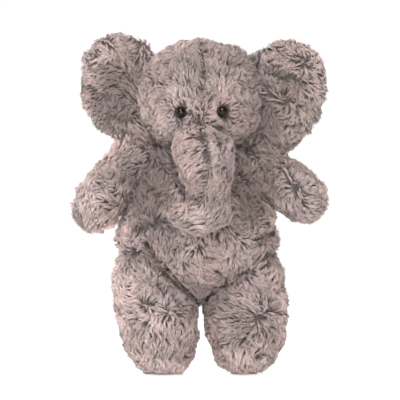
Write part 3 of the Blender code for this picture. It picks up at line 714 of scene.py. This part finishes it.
def tufts(name, cell=2.7, per=7, length=12.5, height=3.8, width=0.54, spread=1.8):
    """Tapered, curved strands of one cover's pile, gathered into tufts: their roots and everything that shapes them."""
    s = skins[name]
    r = np.random.default_rng(abs(hash_name(name)))
    total = s.area.sum()
    count = int(total / (cell * MM) ** 2 * 3.2)
    pick = np.searchsorted(np.cumsum(s.area), r.uniform(0, total, count))
    pick = np.minimum(pick, len(s.t) - 1)
    a, b = r.uniform(size=(2, count))
    flip = a + b > 1
    a[flip], b[flip] = 1 - a[flip], 1 - b[flip]
    t = s.t[pick]
    w = np.stack([1 - a - b, a, b], 1)
    pts = (s.v[t] * w[:, :, None]).sum(1)
    nor = unit((s.n[t] * w[:, :, None]).sum(1))
    # at most one tuft in each small cell
    key = np.floor(pts / (cell * MM * 0.93)).astype(np.int64)
    _, first = np.unique(key[:, 0] * 73856093 ^ key[:, 1] * 19349663 ^ key[:, 2] * 83492791, return_index=True)
    pts, nor = pts[first], nor[first]
    keep, near_other = keep_clear(name, pts)
    if name == "head":
        for x, z in EYES.values():
            keep &= ~((np.hypot(pts[:, 0] - x * MM, pts[:, 2] - z * MM) < 5.7 * MM) & (pts[:, 1] < 0))
    for line in SEAMS[name]:
        d, _ = line.near(pts)
        keep &= d > line.bare
    pts, nor, near_other = pts[keep], nor[keep], near_other[keep]
    n = len(pts)
    c = comb(name, pts, nor)
    short = 1 - 0.2 * near_other
    # painted shade in the creases, darker where another cover lies close, most on the torso
    painted_shade = (-2.2 if name == "torso" else -1.2) * near_other
    sewn = np.zeros(n)
    for line in SEAMS[name]:
        d, away = line.near(pts)
        near = np.exp(-((d / (5.0 * MM)) ** 2))
        c = c + away * (2.0 * near * min(line.depth / (2.2 * MM), 1.2))[:, None]
        short *= 1 - 0.35 * near
        # painted shade on the pile beside each line's groove
        painted_shade -= line.dark * np.exp(-((d / line.soft) ** 2))
        sewn = np.maximum(sewn, near * (line.bare > 0.9 * MM))
    if name == "head":
        for x, z in EYES.values():
            d = np.hypot(pts[:, 0] - x * MM, pts[:, 2] - z * MM)
            near = np.exp(-(((d - 6 * MM) / (6 * MM)) ** 2)) * (pts[:, 1] < 0)
            short *= 1 - 0.40 * near
    if name.startswith("leg"):
        inner = smooth(0.020, 0.008, np.abs(pts[:, 0])) * (pts[:, 2] < 0.085)
        short *= 1 - 0.38 * inner
    c = unit(c - (c * nor).sum(1, keepdims=True) * nor)
    stop = np.full(n, 9.0)
    # every tuft leans its own way a little
    side = np.cross(nor, c)
    calm = name in ("trunk", "trunk_tip")
    turn = r.normal(0, 0.09 if calm else 0.15, n)
    under = (r.uniform(size=n) < (0.04 if calm else 0.11)) & (sewn < 0.35)
    turn[under] = r.uniform(-np.pi, np.pi, under.sum())
    short[under] *= 0.72
    # the stray strands under the tufts are painted darker: painted shade beneath the pile
    under_strand_shade = np.where(under, -0.5, 0.0)
    c = c * np.cos(turn)[:, None] + side * np.sin(turn)[:, None]
    side = np.cross(nor, c)
    bend = 1.0 * curl_noise(pts)[:, 0] + r.normal(0, 0.30, n)
    high = np.clip(1 + 0.50 * height_noise(pts) + r.normal(0, 0.13, n), 0.4, 1.7)
    long_ = np.clip(1 + r.normal(0, 0.13, n), 0.7, 1.35) * short
    tint = tint_noise(pts) * 0.9 + r.normal(0, 0.75, n)
    # lightness of each tuft: random tone plus painted shade and the painted light spots
    light = 0.35 * light_noise(pts) + r.normal(0, 0.26, n) + painted_shade + under_strand_shade + painted_light_spots(name, pts)
    # strands of each tuft
    k = np.maximum(2, per + r.integers(-1, 2, n))
    i = np.repeat(np.arange(n), k)
    m = len(i)
    rad = spread * MM * np.sqrt(r.uniform(0, 1, m))
    ang = r.uniform(0, 2 * np.pi, m)
    off = c[i] * (rad * np.cos(ang))[:, None] + side[i] * (rad * np.sin(ang))[:, None]
    stop, clear = stop[i], np.ones(m, bool)
    for line in SEAMS[name]:
        if line.bare < 0.85 * MM:
            continue
        d, away = line.near(pts[i] + off)
        toward = -(c[i] * away).sum(1)
        clear &= d > 0.62 * line.bare
        stop = np.where(toward > 0.2, np.minimum(stop, np.maximum((d - 0.45 * line.bare) / np.maximum(toward, 0.2), 0.0022)), stop)
    out = dict(
        p=pts[i] + off, n=nor[i], c=c[i], s=side[i], off=off,
        bend=bend[i] + r.normal(0, 0.16, m), high=high[i] * np.clip(1 + r.normal(0, 0.10, m), 0.6, 1.4) * height * MM * short[i],
        long=np.minimum(long_[i] * np.clip(1 + r.normal(0, 0.10, m), 0.7, 1.3) * length * MM, stop),
        wide=np.clip(1 + r.normal(0, 0.18, m), 0.6, 1.5) * width * MM,
        tint=tint[i] + r.normal(0, 0.35, m), light=light[i] + r.normal(0, 0.24, m), tip=np.clip(r.normal(0.66, 0.16, m), 0.15, 1.2),
    )
    return {k: v[clear] for k, v in out.items()}


def hash_name(name):
    h = 7
    for ch in name:
        h = (h * 131 + ord(ch)) % 2147483647
    return h


def strands(name, d, mat, skin, floor=None, lines=()):
    """One mesh of closed, three-sided tapered strands."""
    p, n, c, s = d["p"], d["n"], d["c"], d["s"]
    m = len(p)
    L, H, B = d["long"][:, None], d["high"][:, None], (d["bend"] * d["long"] * 0.16)[:, None]
    off = d["off"]
    hh = H[:, 0]
    q0 = p - n * 0.6 * MM
    q1 = skin.hug(p + c * L * 0.42 - off * 0.40 + s * B * 0.30 + n * H * 0.3, hh)
    q2 = skin.hug(p + c * L * 0.99 - off * 0.70 + s * B * 1.25 + n * H * 0.3, hh * d["tip"])
    # the pile parts along the main seams
    for line in lines:
        if line.bare > 0.85 * MM:
            for q in (q1, q2):
                far, away = line.near(q, flat=True)
                q += away * (np.maximum(0, 0.95 * line.bare - far) * (q[:, 1] < 0.005))[:, None]
    path = [q0, q1, q2]
    if floor is not None:
        for q in path:
            q[:, 2] = np.maximum(q[:, 2], floor)
    w = d["wide"][:, None]
    verts = np.empty((m, 7, 3))
    size = (0.90, 1.12)
    tang = [unit(q1 - q0), unit(q2 - q0)]
    for k in range(2):
        t = tang[k]
        sd = unit(s - (s * t).sum(1, keepdims=True) * t)
        up = np.cross(sd, t)
        up *= np.sign((up * n).sum(1, keepdims=True) + 1e-9)
        q = path[k]
        ww = w * size[k] * 0.5
        verts[:, 3 * k + 0] = q - sd * ww
        verts[:, 3 * k + 1] = q + sd * ww
        verts[:, 3 * k + 2] = q + up * ww * 0.85
    verts[:, 6] = q2
    if floor is not None:
        verts[:, :, 2] = np.maximum(verts[:, :, 2], floor)
    # corners of each ring: left, right, top
    quads = [(u, v, 3 + v, 3 + u) for u, v in ((0, 1), (1, 2), (2, 0))]
    tris = [(3, 4, 6), (4, 5, 6), (5, 3, 6), (1, 0, 2)]
    base = (np.arange(m) * 7)[:, None]
    qf = (base[:, :, None] + np.array(quads)[None]).reshape(-1, 4)
    tf = (base[:, :, None] + np.array(tris)[None]).reshape(-1, 3)
    # the first ring decides which way round the faces run
    turned = (np.cross(verts[:, 1] - verts[:, 0], verts[:, 2] - verts[:, 0]) * tang[0]).sum(1) < 0
    flip_q, flip_t = np.repeat(turned, 3), np.repeat(turned, 4)
    qf[flip_q] = qf[flip_q][:, ::-1]
    tf[flip_t] = tf[flip_t][:, ::-1]
    loops = np.concatenate([qf.ravel(), tf.ravel()])
    starts = np.concatenate([np.arange(len(qf)) * 4, len(qf) * 4 + np.arange(len(tf)) * 3])
    me = bpy.data.meshes.new(name)
    me.vertices.add(m * 7)
    me.vertices.foreach_set("co", (verts + O).reshape(-1))
    me.loops.add(len(loops))
    me.loops.foreach_set("vertex_index", loops.astype(np.int32))
    me.polygons.add(len(starts))
    me.polygons.foreach_set("loop_start", starts.astype(np.int32))
    me.polygons.foreach_set("use_smooth", np.ones(len(starts), bool))
    me.update(calc_edges=True)
    # palette column by tint and lightness; the strand's length runs up it
    ti = np.clip(np.round(d["tint"] * 0.8 + 1.5), 0, 3)
    li = np.clip(np.round(d["light"] * 1.8 + 3.5), 0, 7)
    col = (ti * 8 + li + 0.36) / 32
    du = np.array([0.0, 0.008, 0.004] * 2 + [0.004])
    vv = np.array([0.02, 0.03, 0.05, 0.49, 0.50, 0.52, 0.98])
    uv = np.stack([col[:, None] + du[None], np.tile(vv, (m, 1))], 2).reshape(-1, 2)
    layer = me.uv_layers.new(name="OFBake")
    layer.data.foreach_set("uv", uv[loops].astype(np.float32).reshape(-1))
    me.materials.append(mat)
    me.validate()
    o = bpy.data.objects.new(name, me)
    bpy.context.scene.collection.objects.link(o)
    return o


REPLACES = {
    "torso": ["torso_belly_panel", "torso_panel_left", "torso_panel_right", "torso_stuffing"],
    "head": ["head_panel_left", "head_panel_right", "head_back_panel", "head_stuffing"],
    "neck": ["neck_band", "neck_stuffing"],
    "trunk": ["trunk_cover", "trunk_stuffing"],
    "trunk_tip": ["trunk_tip_cover", "trunk_tip_stuffing"],
    "ear_right": ["ear_right_front_panel", "ear_right_back_panel", "ear_right_padding"],
    "ear_left": ["ear_left_front_panel", "ear_left_back_panel", "ear_left_padding"],
    "arm_right": ["arm_right_cover", "arm_right_stuffing"],
    "arm_left": ["arm_left_cover", "arm_left_stuffing"],
    "leg_right": ["leg_right_cover", "leg_right_stuffing"],
    "leg_left": ["leg_left_cover", "leg_left_stuffing"],
    "tail": ["tail_cover", "tail_stuffing"],
}
MOST = 18500  # strands in one piece, so that each stays under 200,000 triangles
made = 0
for name, s in skins.items():
    cover = s.mesh(name + "_cloth", CLOTH_SHADED)
    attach(cover, name)
    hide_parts(*REPLACES[name])
    opts = {}
    if name == "tail":
        opts = dict(length=11.0, height=3.6)
    if name.startswith("ear"):
        opts = dict(length=11.5, height=3.3)
    if name == "neck":
        opts = dict(cell=3.6, per=5)
    d = tufts(name, **opts)
    m = len(d["p"])
    parts = max(1, math.ceil(m / MOST))
    # split by height, so that each piece is one region
    order = np.argsort(d["p"][:, 2], kind="stable")
    for k in range(parts):
        take = order[k * m // parts : (k + 1) * m // parts]
        o = strands(f"{name}_pile_{k + 1}" if parts > 1 else f"{name}_pile", {a: b[take] for a, b in d.items()}, PILE_MAT, s, floor=0.0007 if name.startswith("leg") else None, lines=SEAMS[name])
        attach(o, name)
    made += m
print("strands", made)

# ------------------------------------------------------------------ eyes
for side_name in EYES:
    node = "eye_" + side_name
    v0 = np.array([p.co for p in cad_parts[node].data.vertices])
    # the axis runs from the shank's end to the dome's top
    front_i = v0[:, 1] < np.percentile(v0[:, 1], 20)
    back_i = v0[:, 1] > np.percentile(v0[:, 1], 80)
    axis = Vector(v0[front_i].mean(0) - v0[back_i].mean(0)).normalized()
    tip_at = Vector(v0[np.argmax((v0 - v0.mean(0)) @ np.array(axis))])
    R = 0.00605
    prof = [(0.0, 0.0)]
    for k in range(1, 17):
        a = math.radians(92 * k / 16)
        prof.append((R * math.sin(a), -0.0047 * (1 - math.cos(a))))
    prof += [(R * 0.94, -0.0062), (R * 0.6, -0.0066), (0.0016, -0.0068), (0.0015, -0.0160), (0.0, -0.0162)]
    seg = 48
    v = [(0, 0, prof[0][1])]
    for r_, h in prof[1:-1]:
        v += [(r_ * math.cos(2 * math.pi * j / seg), r_ * math.sin(2 * math.pi * j / seg), h) for j in range(seg)]
    v.append((0, 0, prof[-1][1]))
    f = [(0, 1 + j, 1 + (j + 1) % seg) for j in range(seg)]
    kk = len(prof) - 2
    for i in range(kk - 1):
        f += [(1 + i * seg + j, 1 + (i + 1) * seg + j, 1 + (i + 1) * seg + (j + 1) % seg, 1 + i * seg + (j + 1) % seg) for j in range(seg)]
    f += [(len(v) - 1, 1 + (kk - 1) * seg + (j + 1) % seg, 1 + (kk - 1) * seg + j) for j in range(seg)]
    me = bpy.data.meshes.new(node + "_dome")
    me.from_pydata(v, [], f)
    me.polygons.foreach_set("use_smooth", [True] * len(me.polygons))
    me.materials.append(EYE_MAT)
    o = bpy.data.objects.new(node + "_dome", me)
    bpy.context.scene.collection.objects.link(o)
    q = Vector((0, 0, 1)).rotation_difference(axis)
    o.matrix_world = Matrix.Translation(tip_at + axis * 0.0006) @ q.to_matrix().to_4x4()
    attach(o, "head")
    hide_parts(node)
    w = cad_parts["eye_washer_" + side_name]
    w.data.materials.clear()
    w.data.materials.append(WASHER)

# ------------------------------------------------------------------ stage, light and camera
scene = bpy.context.scene


def plane(name, corners, mat):
    me = bpy.data.meshes.new(name)
    me.from_pydata(corners, [], [(0, 1, 2, 3)])
    me.materials.append(mat)
    o = bpy.data.objects.new(name, me)
    scene.collection.objects.link(o)
    return o


white, t, p = clear_nodes("stage_white")
p.inputs["Base Color"].default_value = (0.60, 0.60, 0.60, 1)
p.inputs["Roughness"].default_value = 0.9
p.inputs["Specular IOR Level"].default_value = 0.1
p.inputs["Emission Color"].default_value = (1, 1, 1, 1)
oc = t.nodes.new("ShaderNodeTexCoord")
far = t.nodes.new("ShaderNodeVectorMath")
far.operation = "LENGTH"
t.links.new(oc.outputs["Object"], far.inputs[0])
glow = t.nodes.new("ShaderNodeMapRange")
glow.inputs["From Min"].default_value = 0.18
glow.inputs["From Max"].default_value = 0.85
glow.inputs["To Min"].default_value = 0.66
glow.inputs["To Max"].default_value = 1.0
t.links.new(far.outputs["Value"], glow.inputs["Value"])
t.links.new(glow.outputs[0], p.inputs["Emission Strength"])
plane("floor", [(-4, -4, -0.0004), (4, -4, -0.0004), (4, 4, -0.0004), (-4, 4, -0.0004)], white)

world = bpy.data.worlds.new("studio")
scene.world = world
world.use_nodes = True
bg = world.node_tree.nodes["Background"]
tc = world.node_tree.nodes.new("ShaderNodeTexCoord")
sp = world.node_tree.nodes.new("ShaderNodeSeparateXYZ")
rp = world.node_tree.nodes.new("ShaderNodeValToRGB")
ab = world.node_tree.nodes.new("ShaderNodeMath")
ab.operation = "ABSOLUTE"
world.node_tree.links.new(tc.outputs["Generated"], sp.inputs[0])
world.node_tree.links.new(sp.outputs[2], ab.inputs[0])
world.node_tree.links.new(ab.outputs[0], rp.inputs[0])
rp.color_ramp.elements[0].position, rp.color_ramp.elements[0].color = 0.09, (1.03, 1.03, 1.03, 1)
rp.color_ramp.elements[1].position, rp.color_ramp.elements[1].color = 0.20, (0.20, 0.21, 0.225, 1)
world.node_tree.links.new(rp.outputs[0], bg.inputs[0])
bg.inputs[1].default_value = 1.0


def area(name, at, aim, size, power, colour=(1, 1, 1)):
    li = bpy.data.lights.new(name, "AREA")
    li.shape = "DISK"
    li.size = size
    li.energy = power
    li.color = colour
    o = bpy.data.objects.new(name, li)
    scene.collection.objects.link(o)
    o.location = at
    o.rotation_euler = (Vector(aim) - Vector(at)).to_track_quat("-Z", "Y").to_euler()
    return o


area("key", (-0.10, -1.20, 1.20), (0, 0, 0.2), 0.55, 27, (1.0, 0.965, 0.94))
area("front", (0.15, -2.3, 0.45), (0, 0, 0.2), 0.40, 25, (1.0, 0.97, 0.95))
area("fill", (-1.2, -0.4, 0.7), (0, 0, 0.2), 0.9, 9, (0.90, 0.96, 1.0))
area("rear", (-0.9, 1.5, 1.0), (0, 0, 0.2), 0.9, 26, (0.92, 0.97, 1.0))
area("catch", (0.06, -2.6, 0.26), (0, 0, 0.22), 0.12, 7, (1.0, 0.98, 0.96))

cam = bpy.data.cameras.new("camera")
cam.lens = 450
cam.sensor_width = 36
cam.clip_start = 0.05
cam.clip_end = 20
co = bpy.data.objects.new("camera", cam)
scene.collection.objects.link(co)
co.location = (-0.0023, -5.0, 0.175)
co.rotation_euler = (math.radians(90), 0, 0)
scene.camera = co
scene.view_settings.view_transform = "Standard"
scene.view_settings.look = "None"
